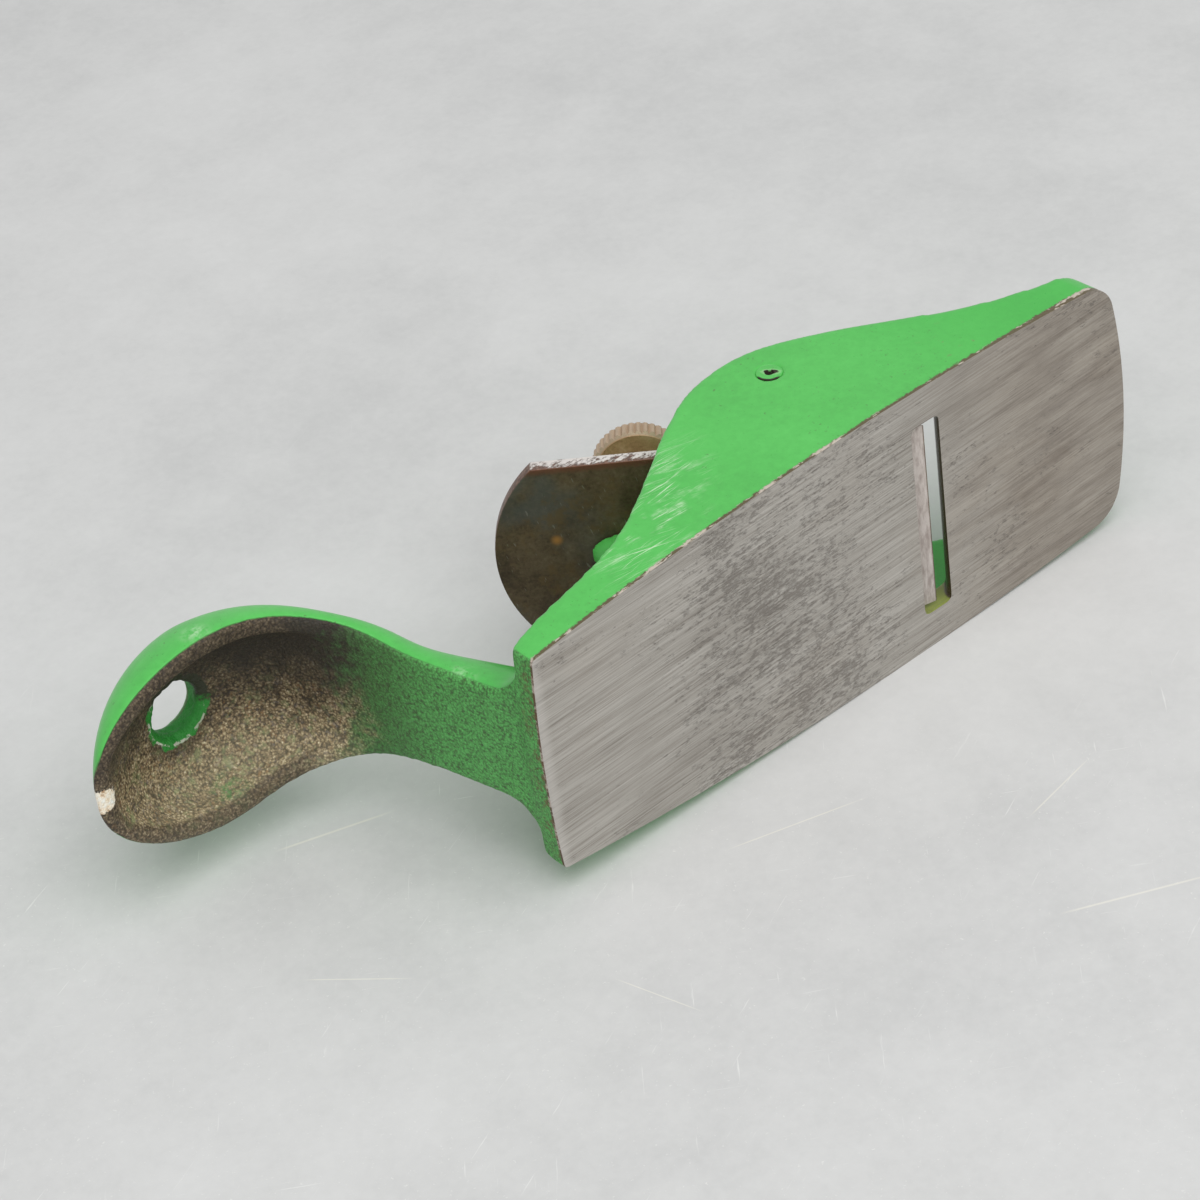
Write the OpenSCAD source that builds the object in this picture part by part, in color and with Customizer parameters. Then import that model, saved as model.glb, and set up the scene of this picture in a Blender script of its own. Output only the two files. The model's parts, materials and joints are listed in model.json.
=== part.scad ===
// Pocket plane with a squirrel tail, in millimetres.
// The sole lies on Z = 0, +X points to the toe, +Y to the left cheek, and the origin is at the middle of the sole.

/* [Sole and cheeks] */
// Length of the sole from heel to toe, on the centre line
sole_len = 93; // [85:1:100]
// Width across the cheeks where they are widest
sole_w = 36; // [34:0.5:40]
// Thickness of the sole plate
sole_t = 3.2; // [2.5:0.1:4]
// Thickness of each cheek
cheek_t = 3.1; // [2.6:0.1:3.4]
// Height of the cheeks at the top of their hump
hump_h = 21.7; // [20:0.1:24]
// Radius of the bow of each cheek, seen from above
cheek_bow_r = 430; // [350:10:600]
// Distance from the middle of the sole forward to the widest place
widest_x = 9; // [4:1:14]
// Radius of the toe edge, seen from above
toe_r = 65; // [50:1:90]
// Radius of the two toe corners
toe_corner_r = 5; // [4.5:0.5:7]
// Radius of the heel edge, seen from above
heel_r = 173; // [120:1:250]

/* [Mouth and bed] */
// Angle between the bed and the sole
bed_angle = 42; // [40:1:45]
// Place along the sole where the top face of the cutter would meet it
edge_x = 14.3; // [13:0.1:15]
// Front edge of the mouth
mouth_front_x = 15.65; // [15:0.05:17]
// Length of the mouth across the sole
mouth_len = 26.4; // [26:0.1:27]
// Width of the bed rib that backs the upper half of the cutter
rib_w = 5.6; // [5:0.1:8]
// Rear end of the bed rib
rib_end_x = -17; // [-19:0.5:-14]

/* [Tail] */
// Height of the spoon's rim above the sole
rim_h = 33.1; // [31:0.1:35]
// Reach of the tail behind the heel
tail_reach = 36.3; // [34:0.1:38]
// Lean of the neck back from upright
neck_lean = 11.3; // [9:0.1:14]
// Inner radius of the bend from the neck into the spoon
bend_r = 12.3; // [11:0.1:14]
// Half the width of the neck
neck_half_w = 7.8; // [7:0.1:9]
// Thickness of the neck
neck_t = 5.1; // [4:0.1:6]
// Half the width of the spoon
spoon_half_w = 12.95; // [12:0.05:14]
// Height of the spoon's back above its rim
spoon_depth = 10.8; // [9:0.1:12]
// Wall of the spoon
spoon_wall = 3; // [2.5:0.1:3.5]
// Width of the flat rim round the cup
rim_w = 2.6; // [2:0.1:3]
// Radius of the hanging hole
hang_hole_r = 3.9; // [3.5:0.1:4.5]
// Distance of the hanging hole behind the heel
hang_hole_back = 20.2; // [19:0.1:22]

/* [Cutter] */
// Length of the cutter
cutter_len = 50.8; // [45:0.1:55]
// Distance up the bed that the cutter is drawn back at rest, so that its edge is clear of the sole
cutter_set = 0.7; // [0:0.1:1]
// Width of the cutter
cutter_w = 25.2; // [25:0.1:25.6]
// Thickness of the cutter
cutter_t = 1.75; // [1.4:0.05:2]
// Angle of the ground bevel
bevel_angle = 27; // [25:1:30]
// Radius of the cutter's rounded upper end
cutter_end_r = 17; // [15:0.5:25]

/* [Lever cap and thumbscrew] */
// Distance of the cross pin up the cutter, from the sole
pin_up = 17.7; // [17:0.1:18.5]
// Height of the cross pin's axis above the cutter
pin_over = 5.6; // [5.4:0.1:6]
// Radius of the cross pin
pin_r = 1.5; // [1.4:0.05:1.6]
// Distance of the thumbscrew up the cutter, from the sole
screw_up = 34.6; // [34:0.1:35.5]
// Radius of the thumbscrew's thread
screw_r = 2.1; // [2:0.05:2.3]
// Radius of the thumbscrew's knurled head
knob_r = 5.7; // [5.4:0.1:6.2]
// Height of the head's underside above the cutter
knob_over = 14.3; // [13.8:0.1:15]
// Thickness of the head
knob_t = 2.5; // [2.2:0.1:3]
// Half the width of the lever cap at its nose
cap_nose_half_w = 11.8; // [11:0.1:12]
// Half the width of the lever cap's rounded tail
cap_tail_half_w = 6.8; // [6.2:0.1:7]

/* [Hidden] */
$fn = 96;

toe_x = sole_len / 2;
heel_x = -sole_len / 2;
half_w = sole_w / 2;
running_gap = 0.03;
seat_gap = 0.02;
past = 1;
tall = 60;

// Unit vectors of the bed: up along the cutter, and square off its top face
up_x = -cos(bed_angle);
up_z = sin(bed_angle);
off_x = sin(bed_angle);
off_z = cos(bed_angle);

// Smooth step from 0 at a to 1 at b
function ease(a, b, t) = let (u = min(1, max(0, (t - a) / (b - a)))) u * u * (3 - 2 * u);

// Point on a smooth curve from p1 to p2, whose neighbours are p0 and p3
function spline_point(p0, p1, p2, p3, t) =
    0.5 * (2 * p1 + (p2 - p0) * t + (2 * p0 - 5 * p1 + 4 * p2 - p3) * t * t
    + (3 * p1 - p0 - 3 * p2 + p3) * t * t * t);

// Smooth curve through all the points of p, in steps pieces a span
function smooth_line(p, steps) = let (last = len(p) - 1) concat(
    [for (i = [0:last - 1], k = [0:steps - 1])
        spline_point(p[max(i - 1, 0)], p[i], p[i + 1], p[min(i + 2, last)], k / steps)],
    [p[last]]);

// Places a child that is drawn in the bed's own axes: X up along the cutter's top face from the sole, Z off that face
module on_bed() {
    translate([edge_x, 0, seat_gap])
        multmatrix([[up_x, 0, off_x, 0], [0, -1, 0, 0], [up_z, 0, off_z, 0], [0, 0, 0, 1]])
            children();
}

// Extrudes a side view, drawn in X and Z, to a width across Y
module across(width) {
    rotate([90, 0, 0])
        translate([0, 0, -width / 2])
            linear_extrude(width)
                children();
}

// Where two circles about a and b, of radii ra and rb, cross on the left of the line from a to b
function circles_cross(a, ra, b, rb) =
    let (d = norm(b - a), along = (ra * ra - rb * rb + d * d) / (2 * d), side = sqrt(ra * ra - along * along),
         u = (b - a) / d)
    a + u * along + [-u[1], u[0]] * side;

// Outline of the sole from above, drawn in by a wall at the cheeks, the heel and the toe
module sole_outline(cheek_wall = 0, heel_wall = 0, toe_wall = 0) {
    bow = cheek_bow_r - cheek_wall;
    bow_y = cheek_bow_r - half_w;
    toe_in = toe_r - toe_wall;
    heel_in = heel_r - heel_wall;
    corner = max(toe_corner_r - toe_wall, 2);
    crossing = 0.02;
    toe_c = [toe_x - toe_r, 0];
    cheek_c = [widest_x, -bow_y];
    corner_c = circles_cross(toe_c, toe_in - corner, cheek_c, bow - corner);
    to_toe = (corner_c - toe_c) / norm(corner_c - toe_c);
    to_cheek = (corner_c - cheek_c) / norm(corner_c - cheek_c);
    difference() {
        intersection() {
            translate([widest_x, bow_y]) circle(r = bow, $fn = 720);
            translate([widest_x, -bow_y]) circle(r = bow, $fn = 720);
            translate(toe_c) circle(r = toe_in, $fn = 360);
            translate([heel_x + heel_r, 0]) circle(r = heel_in, $fn = 360);
        }
        for (flip = [0, 1])
            mirror([0, flip])
                difference() {
                    polygon([corner_c, corner_c + to_toe * corner * 1.5,
                        corner_c + (to_toe + to_cheek) * corner * 2, corner_c + to_cheek * corner * 1.5]);
                    translate(corner_c) circle(r = corner + crossing);
                }
    }
}

// Side view of the cheeks: low at the heel, one long hump over the pin, low again at the toe
cheek_points = [[-46.5, 3.2], [-44.5, 4.2], [-40, 5], [-31.5, 6.3], [-25, 8.4], [-18, 12.5], [-10.5, 17.4], [-3.5, hump_h - 0.9],
    [3, hump_h], [8.5, hump_h - 1], [16, 16.9], [23, 12.3], [30, 8.3], [38, 5.7], [43, 4.9], [46.5, 4]];

module cheek_side_view() {
    curve = smooth_line(cheek_points, 4);
    polygon(concat([[heel_x - past, 0], [heel_x - past, curve[0][1]]], curve,
        [[toe_x + past, cheek_points[len(cheek_points) - 1][1]], [toe_x + past, 0]]));
}

// Sole, cheeks and end walls, open at the top
module shell() {
    heel_wall = 3.4;
    toe_wall = 3.8;
    difference() {
        intersection() {
            linear_extrude(tall) sole_outline();
            across(sole_w + 2 * past) cheek_side_view();
        }
        translate([0, 0, sole_t])
            linear_extrude(tall)
                sole_outline(cheek_t, heel_wall, toe_wall);
    }
}

// The cutter's back lies on this plane. x on it at height z
function bed_x(z) = edge_x - (cutter_t + 2 * seat_gap) / sin(bed_angle) - z / tan(bed_angle);

// Sloped block behind the mouth and the rib that backs the upper half of the cutter
module bed() {
    block_top = 7.5;
    block_back = 4.5;
    block_half_w = half_w - cheek_t / 2;
    rib_top = (bed_x(0) - rib_end_x) * tan(bed_angle);
    across(2 * block_half_w)
        polygon([[bed_x(0), 0], [bed_x(block_top), block_top], [bed_x(block_top) - block_back, block_top - 1],
            [bed_x(block_top) - block_back - 2, sole_t - 0.5], [bed_x(0) - 2, 0]]);
    intersection() {
        across(sole_w)
            polygon([[bed_x(1), 1], [rib_end_x - past, rib_top + past * tan(bed_angle)], [rib_end_x - past, 1]]);
        linear_extrude(tall)
            union() {
                translate([rib_end_x + rib_w / 2, 0]) circle(r = rib_w / 2);
                translate([rib_end_x + rib_w / 2, -rib_w / 2]) square([sole_len / 2, rib_w]);
            }
    }
}

// Slot through the sole, relieved a little behind the cutting edge. Its front wall leans forward
// above a narrow upright band, so that shavings pass
module mouth() {
    relief = 0.4;
    front_band = 0.7;
    front_lean = 3.2;
    across(mouth_len)
        polygon([[bed_x(-past) - relief, -past], [mouth_front_x, -past], [mouth_front_x, front_band],
            [mouth_front_x + front_lean, sole_t + past], [bed_x(sole_t + past), sole_t + past],
            [bed_x(relief), relief], [bed_x(0) - relief, 0]]);
}

// The tail is lofted along its rim line: up the leaning neck, round the bend and level to the tip.
// t is the distance along that line from the sole.
rim_root_x = heel_x + 1.15;
neck_top_z = rim_h - bend_r * (1 - sin(neck_lean));
neck_len = neck_top_z / cos(neck_lean);
bend_len = bend_r * (90 - neck_lean) * PI / 180;
neck_top_x = rim_root_x - neck_len * sin(neck_lean);
spoon_start_x = neck_top_x - bend_r * cos(neck_lean);
tip_x = heel_x - tail_reach;
rim_len = neck_len + bend_len + spoon_start_x - tip_x;
spoon_mid_x = heel_x - 17.9;
spoon_mid = neck_len + bend_len + spoon_start_x - spoon_mid_x;

// Turn of the rim line at t: neck_lean on the neck, 90 on the spoon
function turn(t) = min(90, max(neck_lean, neck_lean + (t - neck_len) / bend_r * 180 / PI));
function rim_point(t) =
    t < neck_len ? [rim_root_x - t * sin(neck_lean), t * cos(neck_lean)] :
    t < neck_len + bend_len ? [neck_top_x - bend_r * (cos(neck_lean) - cos(turn(t))),
        neck_top_z + bend_r * (sin(turn(t)) - sin(neck_lean))] :
    [spoon_start_x - (t - neck_len - bend_len), rim_h];

// Distance past the middle of the spoon, from 0 there to 1 at the tip
function to_tip(t) = max(0, (t - spoon_mid) / (rim_len - spoon_mid));

// Half the width: flared into the heel, narrow at the neck, full at the spoon, round at the tip
root_flare = 7;
function tail_half_w(t) =
    (neck_half_w + root_flare * (1 - ease(-0.6, 7, t)) + (spoon_half_w - neck_half_w) * ease(17, 45, t))
    * sqrt(1 - pow(to_tip(t), 2));

// Height of the back above the rim line
root_t = 4.2;
function tail_depth(t) =
    (neck_t + root_t * (1 - ease(2, 22, t)) + (spoon_depth - neck_t) * ease(28.5, 43, t))
    * pow(1 - pow(to_tip(t), 2), 0.85);

// Depth of the cup, nothing along the neck
function cup_depth(t) = max(0, tail_depth(t) - spoon_wall) * ease(23, 37, t);
function cup_half_w(t) = max(tail_half_w(t) - rim_w, 0.6 * tail_half_w(t));

// One cross-section: over the back from right to left, then back through the cup
back_steps = 20;
cup_steps = 12;
roundness = 2.5;
function full_arc(a) = [sign(cos(a)) * pow(abs(cos(a)), 2 / roundness), pow(abs(sin(a)), 2 / roundness)];
function section(t) = concat(
    [for (i = [0:back_steps])
        let (q = full_arc(180 * i / back_steps)) [tail_half_w(t) * q[0], tail_depth(t) * q[1]]],
    [for (i = [0:cup_steps])
        let (q = full_arc(180 - 180 * i / cup_steps)) [cup_half_w(t) * q[0], cup_depth(t) * q[1]]]);
function ring(t) = let (p = rim_point(t), a = turn(t))
    [for (q = section(t)) [p[0] + q[1] * cos(a), q[0], p[1] + q[1] * sin(a)]];
function ring_middle(t) = let (p = rim_point(t), a = turn(t), d = tail_depth(t) / 2)
    [p[0] + d * cos(a), 0, p[1] + d * sin(a)];

// Places of the cross-sections: even along the neck, close together where the tip rounds off
neck_rings = [for (t = [1.2:1.25:14.95]) t];
bend_rings = [for (t = [16.2:1.3:spoon_mid - 0.8]) t];
tip_rings = [for (a = [0:5:85]) spoon_mid + (rim_len - spoon_mid) * sin(a)];
tail_rings = concat(neck_rings, bend_rings, tip_rings);

module tail() {
    n = back_steps + cup_steps + 2;
    rings = len(tail_rings);
    points = concat([for (t = tail_rings) each ring(t)],
        [ring_middle(tail_rings[0]), ring_middle(tail_rings[rings - 1])]);
    root_middle = n * rings;
    tip_middle = n * rings + 1;
    last_ring = n * (rings - 1);
    sides = [for (k = [0:rings - 2], i = [0:n - 1])
        let (j = (i + 1) % n, a = k * n + i, b = k * n + j, c = (k + 1) * n + j, d = (k + 1) * n + i)
        each [[a, b, c], [a, c, d]]];
    root_end = [for (i = [0:n - 1]) [root_middle, (i + 1) % n, i]];
    tip_end = [for (i = [0:n - 1]) [tip_middle, last_ring + i, last_ring + (i + 1) % n]];
    polyhedron(points = points, faces = concat(sides, root_end, tip_end), convexity = 6);
}

pin_x = edge_x + pin_up * up_x + pin_over * off_x;
pin_z = seat_gap + pin_up * up_z + pin_over * off_z;

module body_casting() {
    color("limegreen")
        difference() {
            union() {
                shell();
                bed();
                tail();
            }
            mouth();
            translate([pin_x, half_w + past, pin_z])
                rotate([90, 0, 0])
                    cylinder(r = pin_r + 0.005, h = sole_w + 2 * past);
            translate([heel_x - hang_hole_back, 0, rim_h])
                cylinder(r = hang_hole_r, h = spoon_depth + past);
        }
}

// Filed flush with the cheeks on both sides
module cross_pin() {
    pin_len = sole_w - 0.2;
    color("darkgreen")
        translate([pin_x, pin_len / 2, pin_z])
            rotate([90, 0, 0])
                cylinder(r = pin_r, h = pin_len);
}

// Flat iron, ground to its edge from the back and rounded at the top
module cutter() {
    bevel_len = cutter_t / tan(bevel_angle);
    color("dimgray")
        on_bed()
            translate([cutter_set, 0, 0])
                intersection() {
                    across(cutter_w)
                        polygon([[0, 0], [bevel_len, -cutter_t], [cutter_len, -cutter_t], [cutter_len, 0]]);
                    translate([0, 0, -cutter_t - past])
                        linear_extrude(cutter_t + 2 * past)
                            union() {
                                translate([-past, -cutter_w / 2])
                                    square([cutter_len - cutter_end_r + past, cutter_w]);
                                intersection() {
                                    translate([cutter_len - cutter_end_r, 0]) circle(r = cutter_end_r);
                                    translate([0, -cutter_w / 2]) square([cutter_len, cutter_w]);
                                }
                            }
                }
}

// Side view of the lever cap, in the bed's axes: the nose bears on the cutter, the saddle hooks
// under the pin, and the tail lifts to the screw boss
cap_nose = 5.4;
cap_end = screw_up + 6.2;
cap_boss_top = 10;
saddle = pin_over - pin_r;
cap_under = [[cap_nose + 0.9, seat_gap], [cap_nose + 2.4, 0.3], [12, 0.9], [pin_up, 1], [22, 1.5], [27, 2.8],
    [cap_end - 4, 4.2], [cap_end, 4.4]];
cap_over = [[cap_end, 6.8], [cap_end - 4, 7.2], [29, 7], [24.5, 5.9], [pin_up + 3.4, saddle + 0.9],
    [pin_up - 3.4, saddle + 0.8], [11.5, 4], [8.5, 2.7], [cap_nose + 0.4, 1.7], [cap_nose, 1]];

module lever_cap() {
    shoulder = 18.5;
    waist = 30;
    color("green")
        on_bed()
            difference() {
                union() {
                    intersection() {
                        across(2 * cap_nose_half_w) polygon(concat(cap_under, cap_over));
                        linear_extrude(tall)
                            union() {
                                polygon([[0, -cap_nose_half_w], [shoulder, -cap_nose_half_w], [waist, -cap_tail_half_w],
                                    [cap_end - cap_tail_half_w, -cap_tail_half_w],
                                    [cap_end - cap_tail_half_w, cap_tail_half_w], [waist, cap_tail_half_w],
                                    [shoulder, cap_nose_half_w], [0, cap_nose_half_w]]);
                                translate([cap_end - cap_tail_half_w, 0]) circle(r = cap_tail_half_w);
                            }
                    }
                    translate([screw_up, 0, 6])
                        cylinder(r1 = 5.4, r2 = 4.6, h = cap_boss_top - 6);
                }
                translate([pin_up, cap_nose_half_w + past, pin_over])
                    rotate([90, 0, 0])
                        cylinder(r = pin_r + running_gap, h = 2 * (cap_nose_half_w + past));
                translate([screw_up, 0, 0])
                    cylinder(r = screw_r + running_gap, h = tall);
            }
}

// Steel stud: thread with a rounded foot on the cutter, and a thinner neck that is riveted through the head
rivet_r = 1.5;
rivet_head_r = 2.4;
rivet_head_t = 0.6;
module thumbscrew_stud() {
    foot_r = 1.4;
    color("silver")
        on_bed()
            translate([screw_up, 0, 0])
                rotate_extrude()
                    polygon([[0, seat_gap], [foot_r, seat_gap], [screw_r, 0.8], [screw_r, knob_over - 0.05],
                        [rivet_r, knob_over - 0.05], [rivet_r, knob_over + knob_t + 0.02],
                        [rivet_head_r, knob_over + knob_t + 0.02], [rivet_head_r - 0.5, knob_over + knob_t + rivet_head_t],
                        [0, knob_over + knob_t + rivet_head_t]]);
}

// Brass head with a straight-knurled rim, eased at both edges
module thumbscrew_knob() {
    knurls = 40;
    knurl_depth = 0.3;
    ease_w = 0.5;
    color("goldenrod")
        on_bed()
            translate([screw_up, 0, knob_over])
                intersection() {
                    linear_extrude(knob_t)
                        difference() {
                            circle(r = knob_r);
                            circle(r = rivet_r + running_gap);
                            for (i = [0:knurls - 1])
                                rotate(360 * i / knurls)
                                    translate([knob_r + knurl_depth * 0.4, 0])
                                        rotate(45)
                                            square(2 * knurl_depth, center = true);
                        }
                    rotate_extrude()
                        polygon([[0, 0], [knob_r - ease_w, 0], [knob_r, ease_w * 0.7], [knob_r, knob_t - ease_w * 0.7],
                            [knob_r - ease_w, knob_t], [0, knob_t]]);
                }
}

body_casting();
cross_pin();
cutter();
lever_cap();
thumbscrew_stud();
thumbscrew_knob();
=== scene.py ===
import functools
import json
import math

import bpy
import numpy as np
from mathutils import Matrix, Vector

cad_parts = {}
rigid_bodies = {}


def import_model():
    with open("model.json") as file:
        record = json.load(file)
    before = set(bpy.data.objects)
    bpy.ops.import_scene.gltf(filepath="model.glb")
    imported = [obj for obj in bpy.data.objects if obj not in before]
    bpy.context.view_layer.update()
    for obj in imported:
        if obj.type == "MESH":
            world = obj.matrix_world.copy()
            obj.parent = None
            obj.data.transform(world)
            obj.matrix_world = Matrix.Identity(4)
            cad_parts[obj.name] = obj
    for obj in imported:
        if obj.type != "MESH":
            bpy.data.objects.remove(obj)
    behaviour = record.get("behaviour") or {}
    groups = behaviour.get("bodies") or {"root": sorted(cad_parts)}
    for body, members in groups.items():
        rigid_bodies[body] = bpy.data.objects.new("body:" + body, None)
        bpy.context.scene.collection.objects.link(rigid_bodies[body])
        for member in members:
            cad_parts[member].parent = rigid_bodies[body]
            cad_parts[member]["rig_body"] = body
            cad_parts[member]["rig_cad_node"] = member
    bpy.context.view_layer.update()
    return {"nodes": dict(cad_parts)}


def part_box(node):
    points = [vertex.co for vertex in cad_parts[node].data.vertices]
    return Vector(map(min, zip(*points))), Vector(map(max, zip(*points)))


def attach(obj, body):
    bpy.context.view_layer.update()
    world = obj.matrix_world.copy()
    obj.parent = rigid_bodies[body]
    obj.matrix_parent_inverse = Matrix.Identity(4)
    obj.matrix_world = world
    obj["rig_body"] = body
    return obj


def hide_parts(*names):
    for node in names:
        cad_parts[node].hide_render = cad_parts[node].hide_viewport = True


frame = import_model()
bpy.ops.object.select_all(action="DESELECT")

MM = 0.001

# The sole, the bed and the thumbscrew, as the part's source has them, in millimetres and degrees
SOLE_LEN = 93.0
HALF_W = 18.0
BED_ANGLE = 42.0
EDGE_X = 14.3
EDGE_Z = 0.02
PIN_R = 1.5
SCREW_UP = 34.6
SCREW_R = 2.1
KNOB_OVER = 14.3
KNOB_T = 2.5
PITCH = 0.8

# The tail, as the part's source has it. Pairs say from where to where along its rim line a change goes
RIM_H = 33.1
RIM_ROOT_IN = 1.15
TAIL_REACH = 36.3
SPOON_MID = 17.9
NECK_LEAN = 11.3
BEND_R = 12.3
NECK_HALF_W = 7.8
NECK_T = 5.1
ROOT_FLARE = 7.0
ROOT_NARROWS = (-0.6, 7)
ROOT_T = 4.2
ROOT_THINS = (2, 22)
SPOON_HALF_W = 12.95
SPOON_WIDENS = (17, 45)
SPOON_DEPTH = 10.8
SPOON_DEEPENS = (28.5, 43)
TIP_POWER = 0.85
ROUNDNESS = 2.5
HOLE_X = -66.7


def deselect():
    if bpy.context.object and bpy.context.object.mode != "OBJECT":
        bpy.ops.object.mode_set(mode="OBJECT")
    bpy.ops.object.select_all(action="DESELECT")


def pick(piece):
    deselect()
    piece.select_set(True)
    bpy.context.view_layer.objects.active = piece


def apply_modifier(piece, kind, **settings):
    pick(piece)
    modifier = piece.modifiers.new(kind.lower(), kind)
    for name, value in settings.items():
        setattr(modifier, name, value)
    bpy.ops.object.modifier_apply(modifier=modifier.name)


def points_of(piece):
    """The places of a piece's vertices, in millimetres."""
    co = np.zeros(len(piece.data.vertices) * 3, np.float32)
    piece.data.vertices.foreach_get("co", co)
    return co.reshape(-1, 3) / MM


def select_faces(piece, wanted):
    """Selects the faces whose centre and normal wanted() accepts, and leaves the piece in edit mode."""
    pick(piece)
    for v in piece.data.vertices:
        v.select = False
    for e in piece.data.edges:
        e.select = False
    for f in piece.data.polygons:
        f.select = bool(wanted(f.center / MM, f.normal))
    bpy.ops.object.mode_set(mode="EDIT")
    bpy.ops.mesh.select_mode(type="FACE")


WEIGHT_STEPS = 20


def weigh(piece, name, weights):
    """A vertex group with one weight for each vertex, in a few steps."""
    group = piece.vertex_groups.new(name=name)
    steps = np.round(np.clip(weights, 0, 1) * WEIGHT_STEPS).astype(int)
    for step in range(1, WEIGHT_STEPS + 1):
        members = np.nonzero(steps == step)[0]
        if len(members):
            group.add(members.tolist(), step / WEIGHT_STEPS, "REPLACE")


MERGE_WITHIN = 1e-6


def close_up(piece):
    """In edit mode: merges the vertices that share a place, turns the faces outwards and leaves edit mode."""
    bpy.ops.mesh.select_all(action="SELECT")
    bpy.ops.mesh.remove_doubles(threshold=MERGE_WITHIN)
    bpy.ops.mesh.normals_make_consistent(inside=False)
    bpy.ops.object.mode_set(mode="OBJECT")
    return piece


def copy_of(node, name):
    """A merged copy of a CAD node's mesh, to be reworked."""
    piece = frame["nodes"][node].copy()
    piece.data = frame["nodes"][node].data.copy()
    piece.name = piece.data.name = name
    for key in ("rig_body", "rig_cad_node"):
        del piece[key]
    piece.parent = None
    bpy.context.scene.collection.objects.link(piece)
    pick(piece)
    piece.data.materials.clear()
    bpy.ops.object.mode_set(mode="EDIT")
    bpy.ops.mesh.customdata_custom_splitnormals_clear()
    return close_up(piece)


def round_edges(piece, width, segments, over):
    """Bevels the edges that turn by more than that many degrees, with a width in millimetres."""
    limit = {"limit_method": "ANGLE", "angle_limit": math.radians(over)}
    apply_modifier(piece, "BEVEL", width=width * MM, segments=segments, **limit)


def round_shading(piece, angle=35):
    pick(piece)
    bpy.ops.object.shade_smooth_by_angle(angle=math.radians(angle))


def ease(a, b, t):
    u = np.clip((t - a) / (b - a), 0, 1)
    return u * u * (3 - 2 * u)


# Sockets of a Mix node for colours: factor, first colour, second colour and result
MIX_FACTOR, MIX_FIRST, MIX_SECOND, MIX_RESULT = 0, 6, 7, 2
BACKGROUND_RAYS = ("Is Camera Ray", "Is Glossy Ray", "Is Transmission Ray")


class Wire:
    """An output socket in a node tree. Arithmetic on it adds Math nodes, and node() adds any other."""

    def __init__(self, tree, socket=None):
        self.tree, self.socket = tree, socket

    def node(self, kind, settings=None, sockets=None, out=0):
        made = self.tree.nodes.new("ShaderNode" + kind)
        for name, value in (settings or {}).items():
            if name == "stops":
                ramp = made.color_ramp.elements
                while len(ramp) < len(value):
                    ramp.new(0.5)
                for element, (place, tone) in zip(ramp, value):
                    element.position = place
                    element.color = (*tone, 1)
            else:
                setattr(made, name, value)
        for name, value in (sockets or {}).items():
            if isinstance(value, Wire):
                self.tree.links.new(value.socket, made.inputs[name])
            else:
                made.inputs[name].default_value = value
        return Wire(self.tree, made.outputs[out])

    def math(self, operation, *values, clamp=False):
        return self.node("Math", {"operation": operation, "use_clamp": clamp}, dict(enumerate(values)))

    def __add__(self, other):
        return self.math("ADD", self, other)

    def __sub__(self, other):
        return self.math("SUBTRACT", self, other)

    def __rsub__(self, other):
        return self.math("SUBTRACT", other, self)

    def __mul__(self, other):
        return self.math("MULTIPLY", self, other)

    __radd__, __rmul__ = __add__, __mul__

    def least(self, other):
        return self.math("MINIMUM", self, other)

    def most(self, other):
        return self.math("MAXIMUM", self, other)

    def size(self):
        return self.math("ABSOLUTE", self)

    def scaled(self, factor):
        return self.math("MULTIPLY", self, factor, clamp=True)

    def step(self, low, high):
        """Smooth step from 0 at low to 1 at high, or down where high is below low."""
        low, high, start, end = (low, high, 0.0, 1.0) if low < high else (high, low, 1.0, 0.0)
        sockets = {"Value": self, "From Min": low, "From Max": high, "To Min": start, "To Max": end}
        return self.node("MapRange", {"interpolation_type": "SMOOTHSTEP"}, sockets)

    def ramp(self, *stops):
        """A colour from this value, by stops that each have a place and a colour."""
        return self.node("ValToRGB", {"stops": stops}, {"Fac": self})

    def mix(self, first, second):
        """A colour between the two, by this value."""
        first, second = (tone if isinstance(tone, Wire) else (*tone, 1) for tone in (first, second))
        sockets = {MIX_FACTOR: self, MIX_FIRST: first, MIX_SECOND: second}
        return self.node("Mix", {"data_type": "RGBA"}, sockets, out=MIX_RESULT)

    def vector(self, operation, *values):
        """A vector from a VectorMath node."""
        return self.node("VectorMath", {"operation": operation}, dict(enumerate(values)))

    def measure(self, operation, *values):
        """A number from a VectorMath node: DOT_PRODUCT, LENGTH or DISTANCE."""
        return self.node("VectorMath", {"operation": operation}, dict(enumerate(values)), out="Value")

    def dot(self, direction):
        return self.measure("DOT_PRODUCT", self, direction)

    def attribute(self, name):
        return self.node("Attribute", {"attribute_name": name}, out="Fac")

    def shown(self):
        """1 on the rays that show the background: the camera's, and those in metal and through glass."""
        return most_of(self.node("LightPath", out=kind) for kind in BACKGROUND_RAYS)


def most_of(wires):
    """The greatest of several values."""
    return functools.reduce(Wire.most, wires)


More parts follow.
